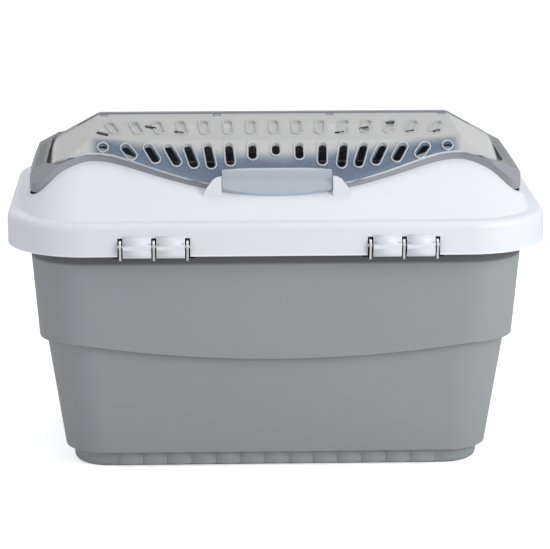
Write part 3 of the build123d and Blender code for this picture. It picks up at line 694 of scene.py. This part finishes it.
def tab(x0, x1):
    """Closed flattened tube between two places along the hinge line."""
    vertices = []
    faces = []
    steps = 28
    for x in (x0, x1):
        for i in range(steps):
            angle = math.tau * i / steps
            c, s = math.cos(angle), math.sin(angle)
            y = TAB_HALF_DEPTH * math.copysign(abs(c) ** TAB_SQUARENESS, c)
            z = TAB_HALF_HEIGHT * math.copysign(abs(s) ** TAB_SQUARENESS, s)
            vertices.append((x, HINGE_Y + y, HINGE_Z + z))
    for i in range(steps):
        k = (i + 1) % steps
        faces.append((i, k, steps + k, steps + i))
    faces.append(tuple(range(steps))[::-1])
    faces.append(tuple(range(steps, 2 * steps)))
    return vertices, faces


tabs = []
for s in (-1, 1):
    for a, b in zip(EAR_PLACES, EAR_PLACES[1:]):
        tabs.append(tab(s * (a + TAB_GAP), s * (b - TAB_GAP)))
new_piece("hinge_tabs", tabs, tab_finish, "lid")

# %% [markdown]
# ## Ribs on the end grips
# The top of each end grip carries a row of low ribs for the fingers. Each rib is a small swept bar
# that follows the slope of the grip.

# %% Grip ribs
GRIP_END, GRIP_EDGE_HEIGHT, GRIP_SLOPE = 0.231, 0.2764, 0.53
RIB_PITCH, RIBS_EACH_WAY = 0.013, 4
RIB_STATIONS = (0.2190, 0.2215, 0.2240, 0.2262)
rib_section = [(-0.0008, -0.0004), (-0.0007, 0.0004), (0.0, 0.0006), (0.0007, 0.0004), (0.0008, -0.0004)]


def grip_height(x, y):
    """Height of the end grip's sloping top."""
    return GRIP_EDGE_HEIGHT + GRIP_SLOPE * (GRIP_END - abs(x))


ribs = []
for s in (-1, 1):
    for i in range(-RIBS_EACH_WAY, RIBS_EACH_WAY + 1):
        points = [(s * x, i * RIB_PITCH) for x in RIB_STATIONS]
        ribs.append(swept(points, [(0, 1)] * len(points), rib_section, False, grip_height))
new_piece("grip_ribs", ribs, frame_finish, "lid")

# %% [markdown]
# ## The studio floor
# The photograph shows the carrier on pure white. The floor is a pale matt sheet. The camera alone
# sees it glow a little, which lifts it to white and leaves a soft shadow under the carrier, while the
# light that it sends back to the plastic stays plain.

# %% Floor
floor_mesh = bpy.data.meshes.new("floor")
maker = bmesh.new()
bmesh.ops.create_grid(maker, x_segments=2, y_segments=2, size=9.0)
maker.to_mesh(floor_mesh)
maker.free()
floor = bpy.data.objects.new("floor", floor_mesh)
scene.collection.objects.link(floor)
floor.location = (0.0, 0.0, cad_box[0][2] - 0.0002)
floor_finish = Finish("floor_white")
camera_sees = floor_finish.add("ShaderNodeLightPath", {}, {}, "Is Camera Ray")
glow = floor_finish.mix(camera_sees, (0, 0, 0, 1), (0.62, 0.62, 0.62, 1))
floor_finish.set(Base_Color=(0.90, 0.90, 0.90, 1.0), Roughness=0.9)
floor_finish.set(Emission_Color=glow, Emission_Strength=1.0)
floor.data.materials.append(floor_finish.material)
print("floor at", round(floor.location.z, 4))

# %% [markdown]
# ## The sky
# The room around the carrier is white to the camera and to mirrors, and dimmer as a source of light,
# so that white plastic doesn't burn out.

# %% World
world = bpy.data.worlds.new("white_room")
scene.world = world
world.use_nodes = True
sky = Graph(world.node_tree)
seen = sky.add("ShaderNodeLightPath", {}, {}, "Is Camera Ray")
mirrored = sky.add("ShaderNodeLightPath", {}, {}, "Is Glossy Ray")
soft = sky.add("ShaderNodeBackground", {}, {"Color": (0.97, 0.98, 1.0, 1.0), "Strength": 0.46})
white = sky.add("ShaderNodeBackground", {}, {"Color": (1.0, 1.0, 1.0, 1.0), "Strength": 1.0})
shown = (seen + mirrored).clamp(0.0, 1.0)
room = sky.add("ShaderNodeMixShader", {}, {0: shown, 1: soft, 2: white})
sky.add("ShaderNodeOutputWorld", {}, {"Surface": room})
print("sky nodes:", len(sky.tree.nodes))

# %% [markdown]
# ## Lamps
# A soft lamp on the right and a much weaker one on the left, a trace purple, give the tub its slow
# change from dark on the left to light on the right. A weak lamp from above keeps the lid's slopes as
# bright as its rim.

# %% Soft lamps
def soft_light(name, place, target, size, power, colour=(1.0, 1.0, 1.0)):
    """A square soft light that faces a point."""
    data = bpy.data.lights.new(name, "AREA")
    data.shape = "SQUARE"
    data.size = size
    data.energy = power
    data.color = colour
    lamp = bpy.data.objects.new(name, data)
    lamp.location = place
    lamp.rotation_euler = (Vector(target) - Vector(place)).to_track_quat("-Z", "Y").to_euler()
    scene.collection.objects.link(lamp)
    return lamp


soft_light("key", (1.15, -1.05, 0.85), (0.10, 0.0, 0.15), 0.8, 13.0, (0.97, 1.0, 0.99))
soft_light("fill", (-1.30, -1.00, 0.55), (-0.10, 0.0, 0.18), 1.0, 2.2, (0.99, 0.96, 1.0))
soft_light("top", (0.0, 0.2, 2.0), (0.0, 0.0, 0.2), 1.8, 9.5)

# %% [markdown]
# ## The camera
# The photograph was taken from about 13 degrees above and 2 degrees to the left, from far enough
# that the sides hardly taper. A long lens at two and a half metres gives the same shape.

# %% Camera
AZIMUTH, ELEVATION, DISTANCE = math.radians(-2.0), math.radians(13.5), 2.5
PHOTO_WIDTH, FOCAL_LENGTH_IN_PIXELS, SENSOR_WIDTH = 550.0, 2564.0, 36.0
aim = Vector((0.002, 0.0, 0.1601))
back = Vector((
    math.sin(AZIMUTH) * math.cos(ELEVATION),
    -math.cos(AZIMUTH) * math.cos(ELEVATION),
    math.sin(ELEVATION),
))
lens = bpy.data.cameras.new("photo_camera")
lens.sensor_fit = "HORIZONTAL"
lens.sensor_width = SENSOR_WIDTH
lens.lens = FOCAL_LENGTH_IN_PIXELS / PHOTO_WIDTH * SENSOR_WIDTH
camera = bpy.data.objects.new("photo_camera", lens)
camera.location = aim + back * DISTANCE
camera.rotation_euler = (-back).to_track_quat("-Z", "Y").to_euler()
scene.collection.objects.link(camera)
scene.camera = camera
scene.view_settings.view_transform = "Standard"
print("camera at", [round(v, 3) for v in camera.location])

# %% [markdown]
# ## Closing
# The visual model has to stay inside the box of the packed one.
